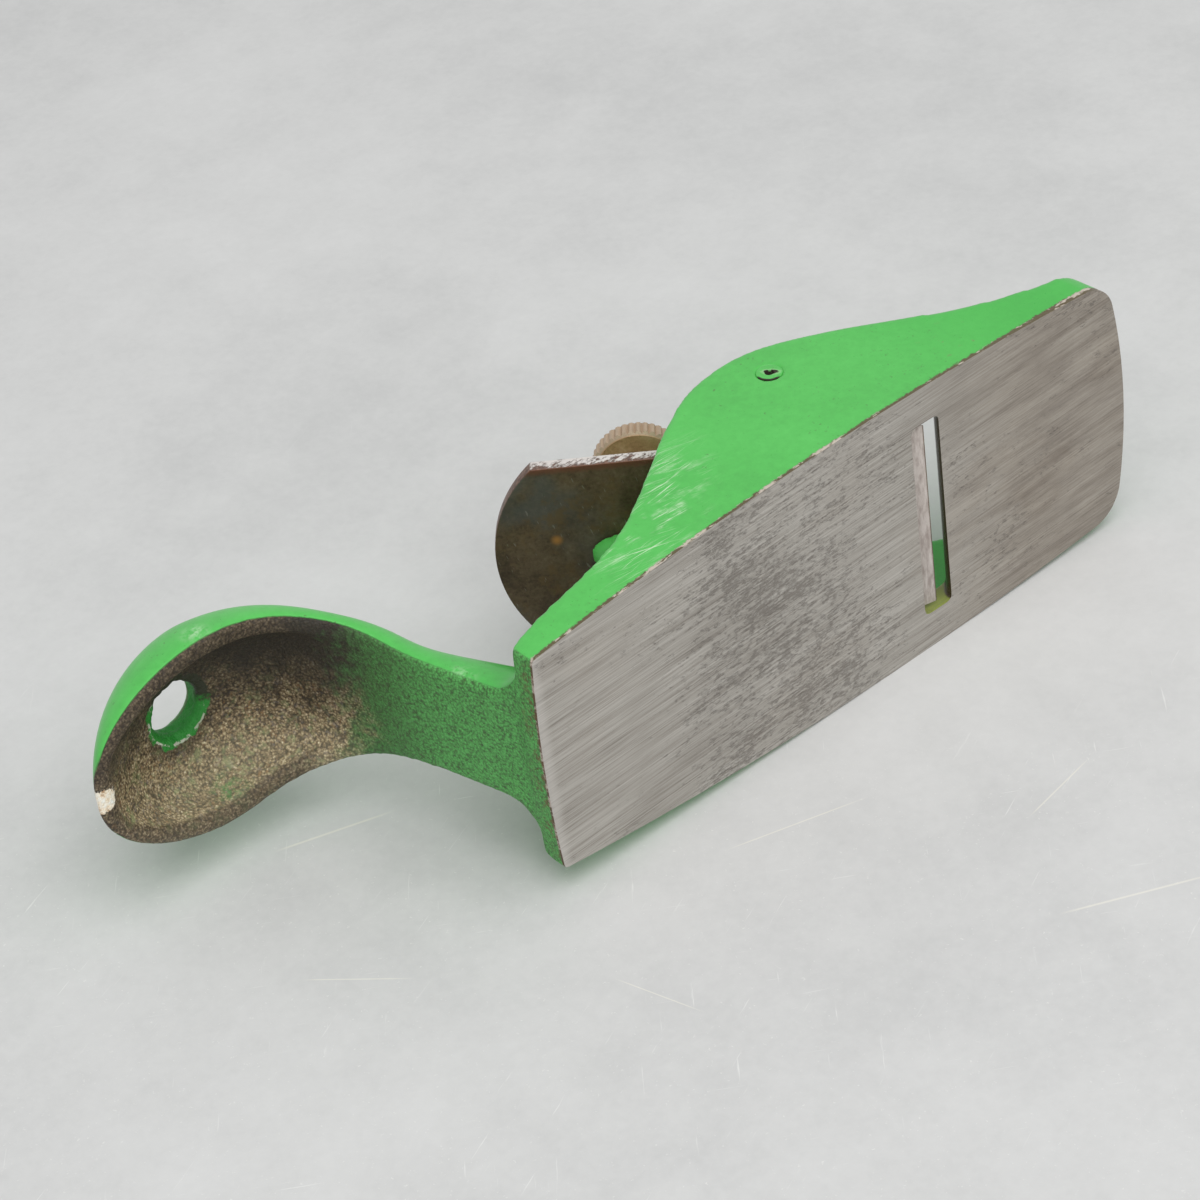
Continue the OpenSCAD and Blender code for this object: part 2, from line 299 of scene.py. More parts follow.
class Finish:
    """A new material with its Object coordinates in millimetres and one Principled shader."""

    def __init__(self, name, **sockets):
        self.material = bpy.data.materials.new(name)
        self.material.use_nodes = True
        self.tree = self.material.node_tree
        self.shader = self.tree.nodes["Principled BSDF"]
        for socket, value in sockets.items():
            self.shader.inputs[socket.replace("_", " ")].default_value = value
        self.root = Wire(self.tree)
        metres = self.root.node("TexCoord", out="Object")
        scale_up = {"Vector": metres, "Scale": 1 / MM}
        self.place = self.root.node("VectorMath", {"operation": "SCALE"}, scale_up)
        self.x, self.y, self.z = (
            self.root.node("SeparateXYZ", sockets={"Vector": self.place}, out=i) for i in range(3)
        )

    def joined(self, x, y, z):
        return self.root.node("CombineXYZ", sockets={0: x, 1: y, 2: z})

    def length(self, x, y, z):
        """The length of the vector with these parts."""
        return self.root.measure("LENGTH", self.joined(x, y, z))

    def stretched(self, x, y, z, turn=(0, 0, 0)):
        """The place turned by those degrees and then scaled by x, y and z, for patterns that run one way."""
        turns = [math.radians(degrees) for degrees in turn]
        turned = self.root.node("Mapping", sockets={"Vector": self.place, "Rotation": turns})
        return self.root.vector("MULTIPLY", turned, (x, y, z))

    def noise(self, size, detail=3.0, rough=0.55, at=None, seed=0.0):
        """Noise from 0 to 1 with features of that size in millimetres."""
        place = at or self.place
        sockets = {"Vector": place, "W": seed, "Scale": 1 / size, "Detail": detail, "Roughness": rough}
        return self.root.node("TexNoise", {"noise_dimensions": "4D"}, sockets)

    def cells(self, size, at):
        """The distance from the middle of round grains of that size in millimetres."""
        return self.root.node("TexVoronoi", sockets={"Vector": at, "Scale": 1 / size})

    def warped(self, size, by, seed=0.0):
        """The place pushed about by noise of that size, by up to that many millimetres."""
        sockets = {"Vector": self.place, "W": seed, "Scale": 1 / size}
        push = self.root.node("TexNoise", {"noise_dimensions": "4D"}, sockets, out="Color")
        return self.root.vector("MULTIPLY_ADD", push, (by, by, by), self.place)

    def near(self, point, radius):
        """1 at a point, falling to 0 at that radius, in millimetres."""
        return self.root.measure("DISTANCE", self.place, point).step(radius, 0)

    def by_line(self, start, direction):
        """How far along a line and how far off it, in X and Z, on a face that looks along Y."""
        (ax, az), (ux, uz) = start, direction
        along = (self.x - ax) * ux + (self.z - az) * uz
        off = (self.z - az) * ux - (self.x - ax) * uz
        return along, off

    def streak(self, start, end, width):
        """A thin line from start to end, given in X and Z, on a face that looks along Y."""
        (ax, az), (bx, bz) = start, end
        length = math.hypot(bx - ax, bz - az)
        along, off = self.by_line(start, ((bx - ax) / length, (bz - az) / length))
        return off.size().step(width, 0) * along.step(0, length * 0.2) * along.step(length, length * 0.7)

    def scratches(self, runs, narrow, low, high):
        """Fine scratches on a face that looks along Y, by each run's turn in degrees, stretch and seed."""

        def one(turn, long, seed):
            place = self.stretched(long, 1, narrow, (0, turn, 0))
            return self.noise(1.0, 3, 0.6, at=place, seed=seed).step(low, high)

        return most_of(one(*run) for run in runs)

    def set(self, **wires):
        for socket, wire in wires.items():
            self.tree.links.new(wire.socket, self.shader.inputs[socket.replace("_", " ")])

    def bump(self, height, depth):
        """Bump whose height socket runs over that depth in millimetres."""
        self.set(Normal=self.root.node("Bump", sockets={"Height": height, "Distance": depth * MM}))


# Body casting: the solid with its edges rounded as cast iron has them, and a true flat sole

CASTING_VOXEL = 0.3
SOLE_EXTRA = 1.5
KEPT_SHARE = 0.6

# The sole's faces: how near to Z = 0 they are before and after the rounding, and the Z of their normals
SOLE_NEAR = 0.001
SOLE_WITHIN = 0.01
DOWNWARDS = -0.9

# How often each place is smoothed
SMOOTH_ALL = 14
SMOOTH_TAIL = 26
SMOOTH_CORNERS = 16

# The hanging hole's outer edge, which is drawn in so that the hole tapers, and the lumps of its wall
HOLE_EDGE_R = 4.25
HOLE_EDGE_Z = 41.3
HOLE_MIDDLE_Z = 41.7
HOLE_TAPER = 0.86
HOLE_PULL = 2.6
LUMP_SIZE = 1.5
LUMP_DEPTH = 0.9

pin_low, pin_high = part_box("cross_pin")
pin_centre = (pin_low + pin_high) / 2


def tail_fields(p, n):
    """For points p and normals n: the distance along the tail's rim line, the height above it, how far out
    towards the skin a point is, and how much it faces away from the tail's back."""
    lean = math.radians(NECK_LEAN)
    root_x = -SOLE_LEN / 2 + RIM_ROOT_IN
    neck_len = (RIM_H - BEND_R * (1 - math.sin(lean))) / math.cos(lean)
    bend_len = BEND_R * (math.pi / 2 - lean)
    centre_x = root_x - neck_len * math.sin(lean) - BEND_R * math.cos(lean)
    centre_z = RIM_H - BEND_R
    tip_x = -SOLE_LEN / 2 - TAIL_REACH
    x, y, z = p.T
    angle = np.arctan2(z - centre_z, x - centre_x)
    on_neck = (angle < lean) & (x > centre_x)
    on_spoon = x <= centre_x
    along_neck = -(x - root_x) * math.sin(lean) + z * math.cos(lean)
    t = np.where(on_neck, along_neck, neck_len + BEND_R * (np.clip(angle, lean, math.pi / 2) - lean))
    t = np.where(on_spoon, neck_len + bend_len + centre_x - x, t)
    rise = np.where(
        on_neck,
        (x - root_x) * math.cos(lean) + z * math.sin(lean),
        np.where(on_spoon, z - RIM_H, np.hypot(x - centre_x, z - centre_z) - BEND_R),
    )
    a = np.where(on_neck, lean, np.where(on_spoon, math.pi / 2, angle))
    facing = -(n[:, 0] * np.cos(a) + n[:, 2] * np.sin(a))
    mid = neck_len + bend_len + centre_x + SOLE_LEN / 2 + SPOON_MID
    to_tip = np.clip((t - mid) / (neck_len + bend_len + centre_x - tip_x - mid), 0, 0.999)
    flare = ROOT_FLARE * (1 - ease(*ROOT_NARROWS, t))
    half_w = NECK_HALF_W + flare + (SPOON_HALF_W - NECK_HALF_W) * ease(*SPOON_WIDENS, t)
    half_w = half_w * np.sqrt(1 - to_tip**2)
    depth = NECK_T + ROOT_T * (1 - ease(*ROOT_THINS, t)) + (SPOON_DEPTH - NECK_T) * ease(*SPOON_DEEPENS, t)
    depth = depth * (1 - to_tip**2) ** TIP_POWER
    skin = (np.abs(y) / half_w) ** ROUNDNESS + (np.clip(rise, 0, None) / depth) ** ROUNDNESS
    return t, rise, skin, facing


def taper_hole(piece):
    """Narrows the hanging hole towards its outer edge and makes its wall uneven."""
    select_faces(piece, lambda c, n: math.hypot(c.x - HOLE_X, c.y) < HOLE_EDGE_R and c.z > HOLE_EDGE_Z)
    bpy.ops.transform.resize(
        value=(HOLE_TAPER, HOLE_TAPER, 1),
        center_override=(HOLE_X * MM, 0, HOLE_MIDDLE_Z * MM),
        use_proportional_edit=True,
        use_proportional_connected=True,
        proportional_edit_falloff="SMOOTH",
        proportional_size=HOLE_PULL * MM,
    )
    bpy.ops.object.mode_set(mode="OBJECT")
    x, y, z = points_of(piece).T
    in_reach = ease(5.4, 4.3, np.hypot(x - HOLE_X, y)) * ease(34, 36, z) * ease(43.1, 42.2, z)
    weigh(piece, "ragged hole", in_reach)
    lumps = bpy.data.textures.new("ragged hole", "CLOUDS")
    lumps.noise_scale = LUMP_SIZE * MM
    look = {"texture": lumps, "texture_coords": "LOCAL", "strength": LUMP_DEPTH * MM, "mid_level": 0.5}
    apply_modifier(piece, "DISPLACE", vertex_group="ragged hole", **look)
    piece.vertex_groups.clear()


def make_casting():
    piece = copy_of("body_casting", "casting")
    # The sole is drawn down before the edges are rounded and cut flat after it, so its arris stays crisp
    select_faces(piece, lambda c, n: c.z < SOLE_NEAR and n.z < DOWNWARDS)
    bpy.ops.mesh.extrude_region_move(TRANSFORM_OT_translate={"value": (0, 0, -SOLE_EXTRA * MM)})
    bpy.ops.object.mode_set(mode="OBJECT")
    apply_modifier(piece, "REMESH", mode="VOXEL", voxel_size=CASTING_VOXEL * MM, adaptivity=0.0)
    x, y, z = points_of(piece).T
    pin_x, pin_z = (pin_low.x + pin_high.x) / 2 / MM, (pin_low.z + pin_high.z) / 2 / MM
    weigh(piece, "all but the pin hole", ease(1.9, 2.7, np.hypot(x - pin_x, z - pin_z)))
    weigh(piece, "tail", ease(-44.5, -47.5, x) * ease(1.5, 4, z))
    weigh(piece, "heel corners", ease(-41, -44, x) * ease(1.8, 3.2, z) * ease(7, 10, np.abs(y)))
    smoothed = (("all but the pin hole", SMOOTH_ALL), ("tail", SMOOTH_TAIL), ("heel corners", SMOOTH_CORNERS))
    for group, times in smoothed:
        apply_modifier(piece, "SMOOTH", factor=0.5, iterations=times, vertex_group=group)
    piece.vertex_groups.clear()
    taper_hole(piece)
    apply_modifier(piece, "DECIMATE", ratio=KEPT_SHARE)
    pick(piece)
    bpy.ops.object.mode_set(mode="EDIT")
    bpy.ops.mesh.select_all(action="SELECT")
    bpy.ops.mesh.bisect(
        plane_co=(0, 0, 0), plane_no=(0, 0, 1), clear_inner=True, use_fill=True, threshold=MERGE_WITHIN
    )
    bpy.ops.mesh.select_all(action="SELECT")
    bpy.ops.mesh.normals_make_consistent(inside=False)
    bpy.ops.object.mode_set(mode="OBJECT")
    return piece


casting = make_casting()


def paint_fields(piece):
    """Keeps on each vertex where it is on the tail, for the paint, the bare iron and their borders."""
    p = points_of(piece)
    n = np.zeros(len(p) * 3, np.float32)
    piece.data.vertices.foreach_get("normal", n)
    fields = tail_fields(p, n.reshape(-1, 3))
    for name, values in zip(("along", "rise", "skin", "facing"), fields):
        layer = piece.data.attributes.new(name, "FLOAT", "POINT")
        layer.data.foreach_set("value", values.astype(np.float32))


paint_fields(casting)

# Linear colours of the green enamel: clean, at the toe, and where it is specked, scratched, scuffed or dirty
GREEN = (0.095, 0.52, 0.098)
TOE_GREEN = (0.035, 0.44, 0.045)
SPECKED_GREEN = (0.08, 0.16, 0.05)
SCRATCHED_GREEN = (0.74, 0.9, 0.66)
SCUFFED_GREEN = (0.55, 0.8, 0.5)
DIRTY_GREEN = (0.2, 0.22, 0.1)

# The thin rough green on the neck, by its grain, where it is specked, and the darker green of painted shade
# where it ends towards the cup
ROUGH_GREEN = (
    (0.34, (0.06, 0.15, 0.045)),
    (0.43, (0.09, 0.34, 0.08)),
    (0.52, (0.125, 0.5, 0.12)),
    (0.66, (0.19, 0.62, 0.18)),
)
RUSTY_SPECK = (0.11, 0.09, 0.035)
# Darker green, painted shade towards the bend into the cup
NECK_SHADE_GREEN = (0.05, 0.08, 0.03)

# The bare iron in the spoon, by its grain, its stains, painted light and painted shade with oxide in the cup,
# and the dull iron of its land
BARE_IRON = (
    (0.36, (0.045, 0.03, 0.016)),
    (0.43, (0.19, 0.13, 0.065)),
    (0.49, (0.4, 0.3, 0.17)),
    (0.55, (0.66, 0.54, 0.33)),
    (0.62, (1.0, 0.95, 0.76)),
)
DULL_IRON = ((0.38, (0.04, 0.026, 0.015)), (0.47, (0.11, 0.078, 0.046)), (0.58, (0.26, 0.2, 0.125)))
RUST = (0.38, 0.17, 0.045)
VIOLET_GREY = (0.27, 0.24, 0.25)
GREENISH = (0.27, 0.33, 0.14)
# Painted light: paler tan where the cup's wall faces the lamp
PAINTED_LIGHT_TAN = (0.72, 0.67, 0.45)
SMEARED_GREEN = (0.06, 0.3, 0.08)
# Painted shade mixed with dark oxide, deep in the cup
PAINTED_SHADE_OXIDE = (0.024, 0.02, 0.014)

# The hanging hole: its wall in dark and light green, where the wall is bare, and its chipped edge
WALL_GREENS = ((0.02, 0.2, 0.025), (0.035, 0.34, 0.045))
WALL_BARE = (0.035, 0.04, 0.022)
HOLE_CHIP = (0.66, 0.68, 0.55)

# Primer along the sole's arris in brown and pale, the heel's specks, filler at the tip, and the mouth's
# walls, dark in front as painted shade
PRIMERS = ((0.12, 0.055, 0.038), (0.62, 0.5, 0.45))
HEEL_SPECK = (0.16, 0.075, 0.035)
FILLER = ((0.38, (0.45, 0.25, 0.12)), (0.47, (1.0, 0.86, 0.66)), (0.6, (1.0, 1.0, 0.92)))
# Painted shade for the mouth's front, and yellowed paint at its ends
MOUTH_SHADE_AND_PAINT = ((0.07, 0.045, 0.025), (0.26, 0.3, 0.06))

# Where single marks are, in millimetres
SPOON_SCUFF = (-65.1, -12.8, 35)
HEEL_SCUFF = (-47.6, -7, 11.5)
TOE_RUB = (23, -17.8, 3.5)
GREEN_SMEAR = (-65.1, 10, 35.6)
TIP_FLAKE = (-81.7, -0.2, 33.8)

# The rubbed place on the cheeks in X and Z, the way the edge runs there, and its scratches
RUBBED_PLACE = (-21.5, 7.5)
REAR_EDGE = (0.857, 0.514)
RUBBED_RUNS = ((-18, 0.05, 42), (-8, 0.07, 43), (-26, 0.06, 44), (5, 0.09, 45))

# The way the hole's bare side looks, as shares of +X and of -Y
BARE_SIDE = (0.505, 0.863)


def green_paint(f):
    """Enamel colour with a slow drift, and small dark specks."""
    drift = f.noise(14, 2, seed=3)
    fine = f.noise(0.9, 2, 0.6, seed=5)
    darker = [c * 0.85 for c in GREEN]
    lighter = [min(1, c * 1.1 + 0.01) for c in GREEN]
    tone = (drift * 0.6 + fine * 0.4).ramp((0.3, darker), (0.5, GREEN), (0.72, lighter))
    specks = f.noise(0.4, 3, 0.6, seed=7).step(0.63, 0.69) * f.noise(6, 2, seed=8).step(0.45, 0.6)
    return (specks * 0.7).mix(tone, SPECKED_GREEN)


def worn_streaks(f):
    """Pale scratches through the gloss at the rear of the cheeks, where hand and bench have rubbed."""
    along, off = f.by_line(RUBBED_PLACE, REAR_EDGE)
    region = f.length(along * 0.07, 0.0, off * 0.15).step(1.15, 0.3) * f.y.size().step(14.5, 15.5)
    streaks = f.scratches(RUBBED_RUNS, 3.6, 0.59, 0.68)
    patches = f.noise(4, 3, 0.6, seed=46).step(0.4, 0.58)
    haze = f.noise(1.6, 5, 0.75, at=f.stretched(0.3, 1, 1.5, (0, -16, 0)), seed=47).step(0.5, 0.66)
    return region * (streaks * patches).most(haze * patches * 0.6)


def gloss_green(f, middling):
    """Painted skin: gloss green, rubbed at the rear of the hump and thin at the toe."""
    tone = (f.x.step(8, 38) * 0.5).mix(green_paint(f), TOE_GREEN)
    tone = (worn_streaks(f) * 0.85).mix(tone, SCRATCHED_GREEN)
    scuffed = f.near(SPOON_SCUFF, 2.4).most(f.near(HEEL_SCUFF, 2.8)) * middling.step(0.4, 0.6)
    tone = (scuffed * 0.6).mix(tone, SCUFFED_GREEN)
    rubs = f.noise(1.6, 4, 0.7, seed=48).step(0.6, 0.66) * f.near(TOE_RUB, 6.5)
    return (rubs * 0.6).mix(tone, DIRTY_GREEN)


def bare_iron(f, sandy, middling, coarse, from_hole, rise):
    """Sandy iron in the spoon with rust and stains, painted light on the cup's +Y wall, painted shade mixed
    with dark oxide on its -Y wall and round the hole, and its duller land.
    """
    iron = sandy.ramp(*BARE_IRON)
    rust = f.noise(0.5, 4, 0.7, seed=31).step(0.54, 0.64) * f.noise(3, 3, 0.6, seed=30).step(0.35, 0.65)
    iron = (rust * 0.6).mix(iron, RUST)
    violet = f.noise(0.6, 4, 0.7, seed=32).step(0.54, 0.64)
    iron = (violet * 0.35).mix(iron, VIOLET_GREY)
    greenish = f.noise(1.2, 4, 0.7, seed=33).step(0.5, 0.66) * (f.y.step(-6, 8) * 0.5 + 0.3)
    iron = (greenish * 0.8).mix(iron, GREENISH)
    # Painted light: paler towards +Y, where the cup's wall faces the lamp
    iron = (f.y.step(1, 12) * 0.2).mix(iron, PAINTED_LIGHT_TAN)
    smear = f.near(GREEN_SMEAR, 3.4) * f.noise(0.9, 4, 0.7, seed=34).step(0.45, 0.6)
    iron = (smear * 0.7).mix(iron, SMEARED_GREEN)
    # Painted shade mixed with dark oxide: darker towards -Y, deeper in the cup and round the hole
    shade_and_oxide = (f.y + (coarse - 0.5) * 9 - f.x * 0.12 - 7).step(7.5, -4.5) * (f.z.step(43, 39) * 0.35 + 0.65)
    shade_near_hole = (from_hole + (coarse - 0.5) * 4).step(7, 4.4) * 0.6
    iron = shade_and_oxide.most(shade_near_hole).scaled(0.95).mix(iron, PAINTED_SHADE_OXIDE)
    land = rise.step(1.0, 0.5) * f.z.step(30.5, 32.5) * (middling * 0.5 + 0.5)
    return land.mix(iron, sandy.ramp(*DULL_IRON))


def rough_side(f, iron, sandy, ragged, coarse, along):
    """Rough side of the tail: thin green on the neck, darkened by painted shade towards the bend, which gives
    way to the bare iron of the spoon.
    """
    specks = f.noise(0.4, 4, 0.7, seed=27).step(0.57, 0.66) * f.noise(4, 2, seed=28).step(0.3, 0.6)
    green = (specks * 0.4).mix(sandy.ramp(*ROUGH_GREEN), RUSTY_SPECK)
    bare_from = along + (ragged - 0.5) * 11 + (coarse - 0.5) * 8 - f.y * 0.12
    # Painted shade: the green darkens towards the bend into the cup
    green = (bare_from.step(14, 26) * 0.6).mix(green, NECK_SHADE_GREEN)
    return bare_from.step(24, 31.5).mix(green, iron)


def with_hole(f, tone, from_hole, ragged, middling):
    """The hanging hole's wall, painted but for one side, and its chipped edge."""
    in_hole = (from_hole + (ragged - 0.5) * 2.2).step(4.65, 4.35) * f.z.step(34, 35) * f.z.step(43.1, 42.6)
    bare_x, bare_y = BARE_SIDE
    side = (f.x - HOLE_X) * bare_x - f.y * bare_y
    unpainted = (side + (ragged - 0.5) * 5).step(0.6, 1.8) * f.z.step(42, 41)
    tone = in_hole.mix(tone, unpainted.mix(middling.mix(*WALL_GREENS), WALL_BARE))
    rim = (from_hole + (ragged - 0.5) * 1.2).step(4.5, 4.35) * from_hole.step(4.0, 4.1) * f.z.step(41, 40)
    return (rim * ragged.step(0.5, 0.56) * (1 - unpainted)).mix(tone, HOLE_CHIP)


def enamelled_iron():
    f = Finish("green enamel on iron", Specular_IOR_Level=0.4)
    along, rise, skin, facing = (f.root.attribute(name) for name in ("along", "rise", "skin", "facing"))
    ragged = f.noise(1.1, 4, 0.65, seed=11)
    grit = f.noise(0.3, 4, 0.75, seed=17)
    middling = f.noise(0.9, 3, 0.6, seed=18)
    coarse = f.noise(2.6, 3, 0.6, seed=23)
    grains = f.cells(0.34, at=f.warped(0.5, 0.4, seed=19))
    sandy = grit * 0.52 + middling * 0.15 + coarse * 0.1 + (0.75 - grains) * 0.23

    under = facing.step(0.35, 0.62).most(skin.step(0.9, 0.78)) * f.x.step(-44.9, -45.9)
    from_hole = f.root.measure("DISTANCE", f.joined(f.x, f.y, 0.0), (HOLE_X, 0, 0))
    iron = bare_iron(f, sandy, middling, coarse, from_hole, rise)
    painted = under.mix(gloss_green(f, middling), rough_side(f, iron, sandy, ragged, coarse, along))
    painted = with_hole(f, painted, from_hole, ragged, middling)

    # Primer and rubbed iron along the arris of the sole, brown specks above it on the heel
    fray = f.noise(0.4, 4, 0.7, seed=40)
    width = f.x.step(20, 42) * 0.45 + 0.46 + (ragged - 0.5) * 0.6 + (fray - 0.5) * 0.9
    arris = (f.z - width).step(0.12, -0.12) * (1 - under).most(f.z.step(0.5, 0.25))
    nicks = f.noise(0.9, 4, 0.65, at=f.stretched(0.35, 1, 1), seed=41)
    nicks = (nicks + f.z * 0.05 - f.x.step(-20, 20) * 0.06).step(0.5, 0.57)
    painted = (arris * 0.92).mix(painted, nicks.mix(*PRIMERS))
    heel = f.x.step(-45.8, -46.2) * (f.z + (coarse - 0.5) * 5).step(3.2, 0.2)
    heel_specks = heel * f.noise(0.7, 4, 0.7, seed=36).step(0.5, 0.58)
    painted = (heel_specks * 0.8).mix(painted, HEEL_SPECK)

    # A flake of paint and filler lost at the tip of the spoon
    flaked = f.noise(1.3, 5, 0.75, seed=37)
    tip_chip = (f.near(TIP_FLAKE, 3.2) + (flaked - 0.5) * 0.9).step(0.42, 0.48)
    painted = tip_chip.mix(painted, (middling * 0.6 + grit * 0.4).ramp(*FILLER))

    # Walls of the mouth: dark brown in front, painted shade in the slot, thin yellowed paint at the ends
    slot = f.x.step(10.8, 11.2) * f.x.step(19.2, 18.9) * f.z.step(3.5, 3.2) * f.y.size().step(13.6, 13.4)
    ends = f.y.size().step(12.9, 13.1)
    painted = slot.mix(painted, ends.mix(*MOUTH_SHADE_AND_PAINT))

    rough = under * 0.18 + 0.32 + (grit - 0.5) * 0.3 + tip_chip * 0.3
    height = under * (grit * 0.4 + (0.8 - grains) * 0.35 + middling * 0.3) * 0.34
    height = height + f.noise(1.4, 2, seed=53) * 0.012 - tip_chip * 0.12 + ragged * arris * 0.1
    f.set(Base_Color=painted, Roughness=rough)
    f.bump(height, 1.0)
    return f.material


# The ground sole: bright steel by its lines, brown smudges in dark and pale, pits, and the pale heel end
GROUND_IRON = (
    (0.36, (0.15, 0.13, 0.11)),
    (0.45, (0.31, 0.285, 0.25)),
    (0.54, (0.44, 0.415, 0.375)),
    (0.68, (0.62, 0.59, 0.545)),
)
SMUDGES = ((0.15, 0.115, 0.085), (0.35, 0.305, 0.25))
PIT = (0.1, 0.082, 0.066)
HEEL_END = (0.6, 0.57, 0.53)


def ground_sole():
    f = Finish("ground sole", Specular_IOR_Level=0.5)
    lines = f.noise(1.0, 5, 0.75, at=f.stretched(0.06, 5.4, 1, (0, 0, 1.5)), seed=2)
    bands = f.noise(1.0, 3, 0.6, at=f.stretched(0.03, 0.8, 1, (0, 0, -1)), seed=4)
    stain = f.noise(15, 3, 0.6, at=f.stretched(0.6, 1, 1), seed=6)
    tone = (lines * 0.62 + bands * 0.18 + stain * 0.2).ramp(*GROUND_IRON)
    brown = (stain.step(0.48, 0.64) * 0.25 + f.x.step(6, 32) * 0.7).least(0.85)
    smudges = f.noise(2.4, 5, 0.7, at=f.stretched(0.16, 1, 1), seed=12) * 0.65 + lines * 0.35
    tone = brown.mix(tone, smudges.step(0.36, 0.64).mix(*SMUDGES))
    clusters = f.noise(7, 4, 0.65, at=f.stretched(0.6, 1, 1), seed=9)
    middle = f.x.step(-34, -18) * f.x.step(14, -2) * 0.1 + f.x.step(14, 24) * 0.02
    grains = f.noise(0.34, 5, 0.75, at=f.stretched(0.35, 1, 1), seed=8)
    broad = f.noise(1.3, 3, 0.6, at=f.stretched(0.3, 1, 1), seed=10)
    pits = (grains * 0.82 + broad * 0.18 + clusters * 0.32 + middle).step(0.74, 0.86)
    tone = (pits * 0.55).mix(tone, PIT)
    tone = (f.x.step(-44.5, -46) * 0.4).mix(tone, HEEL_END)
    f.set(Base_Color=tone, Roughness=lines * 0.25 + 0.36)
    f.bump(lines * 0.03 - pits * 0.05, 1.0)
    return f.material


casting.data.materials.append(enamelled_iron())
casting.data.materials.append(ground_sole())
for face in casting.data.polygons:
    on_sole = face.center.z < SOLE_WITHIN * MM and face.normal.z < DOWNWARDS
    face.material_index = 1 if on_sole else 0
round_shading(casting, 50)
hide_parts("body_casting")
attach(casting, "body")

# Cross pin: its ends are painted over, with a crescent of the joint showing, darkened on one side only as
# painted shade, and a small hole in the paint

# How far the paint goes past the pin all round and beyond both of its ends together
PAINT_OVER = 0.06
PAINT_ENDS = 0.16
# The insets on each end, from its rim to the small hole, and the hole's depth
END_INSETS = (0.3, 0.62, 0.1)
CHIP_DEEP = 0.9
# The ways in which the crescent of painted shade and the broken hole lie from the pin's axis
SHADED_CRESCENT_WAY = (-0.775, 0, -0.632)
LEVEL_WAY = (0.746, 0, -0.666)
PALE_BORDER = (0.5, 0.68, 0.42)
# Near black for the broken hole, and for the joint's crescent as painted shade
DARK_HOLE_AND_JOINT_SHADE = (0.02, 0.012, 0.006)


def make_pin():
    deselect()
    bpy.ops.mesh.primitive_cylinder_add(
        vertices=64,
        radius=(PIN_R + PAINT_OVER) * MM,
        depth=pin_high.y - pin_low.y + PAINT_ENDS * MM,
        location=pin_centre,
        rotation=(math.radians(90), 0, 0),
    )
    piece = bpy.context.object
    piece.name = "pin"
    bpy.ops.object.transform_apply(location=True, rotation=True, scale=True)
    select_faces(piece, lambda c, n: abs(n.y) > 0.9)
    for inset in END_INSETS:
        bpy.ops.mesh.inset(thickness=inset * MM)
    bpy.ops.object.mode_set(mode="OBJECT")
    for side in (-1, 1):
        select_faces(piece, lambda c, n: n.y * side > 0.9 and (c - pin_centre / MM).xz.length < 0.1)
        bpy.ops.mesh.extrude_region_move(TRANSFORM_OT_translate={"value": (0, -CHIP_DEEP * MM * side, 0)})
        bpy.ops.object.mode_set(mode="OBJECT")
    round_edges(piece, 0.06, 2, 50)
    round_shading(piece)
    return piece


def painted_pin():
    f = Finish("painted pin ends")
    centre = pin_centre / MM
    from_axis = f.joined(f.x - centre.x, 0.0, f.z - centre.z)
    out = f.root.measure("LENGTH", from_axis)
    lower = from_axis.dot(SHADED_CRESCENT_WAY)
    level = from_axis.dot(LEVEL_WAY)
    ragged = f.noise(0.5, 3, seed=61)
    chip = f.length((level - 0.2) * 0.62, 0.0, (lower + 0.12) * 1.15) + (ragged - 0.5) * 0.5
    chipped = chip.step(0.56, 0.46)
    # Painted shade: the joint is darkened only on the side that faces down in the camera's view
    shaded_crescent = (out + (ragged - 0.5) * 0.15).step(1.32, 1.4) * lower.step(0.6, 1.1)
    tone = (chip.step(0.82, 0.66) * 0.3).mix(green_paint(f), PALE_BORDER)
    tone = chipped.most(shaded_crescent).mix(tone, DARK_HOLE_AND_JOINT_SHADE)
    f.set(Base_Color=tone, Roughness=chipped * 0.4 + 0.38)
    f.bump(f.noise(0.8, 3, seed=62), 0.05)
    return f.material


pin = make_pin()
pin.data.materials.append(painted_pin())
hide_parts("cross_pin")
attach(pin, "body")


# Points on the bed: up along the cutter, across, and off its top face
ALONG = Vector((-math.cos(math.radians(BED_ANGLE)), 0, math.sin(math.radians(BED_ANGLE))))
OFF = Vector((math.sin(math.radians(BED_ANGLE)), 0, math.cos(math.radians(BED_ANGLE))))
BED = Matrix((ALONG, (0, -1, 0), OFF)).transposed().to_4x4()
BED.translation = (EDGE_X * MM, 0, EDGE_Z * MM)


def bed_place(f):
    """The place in the bed's axes: millimetres up the cutter, across and off its top face."""
    moved = f.root.vector("SUBTRACT", f.place, (EDGE_X, 0, EDGE_Z))
    return moved.dot(ALONG), f.y, moved.dot(OFF)


# Cutter: dark with age, ground bright at the bevel and on its two sides

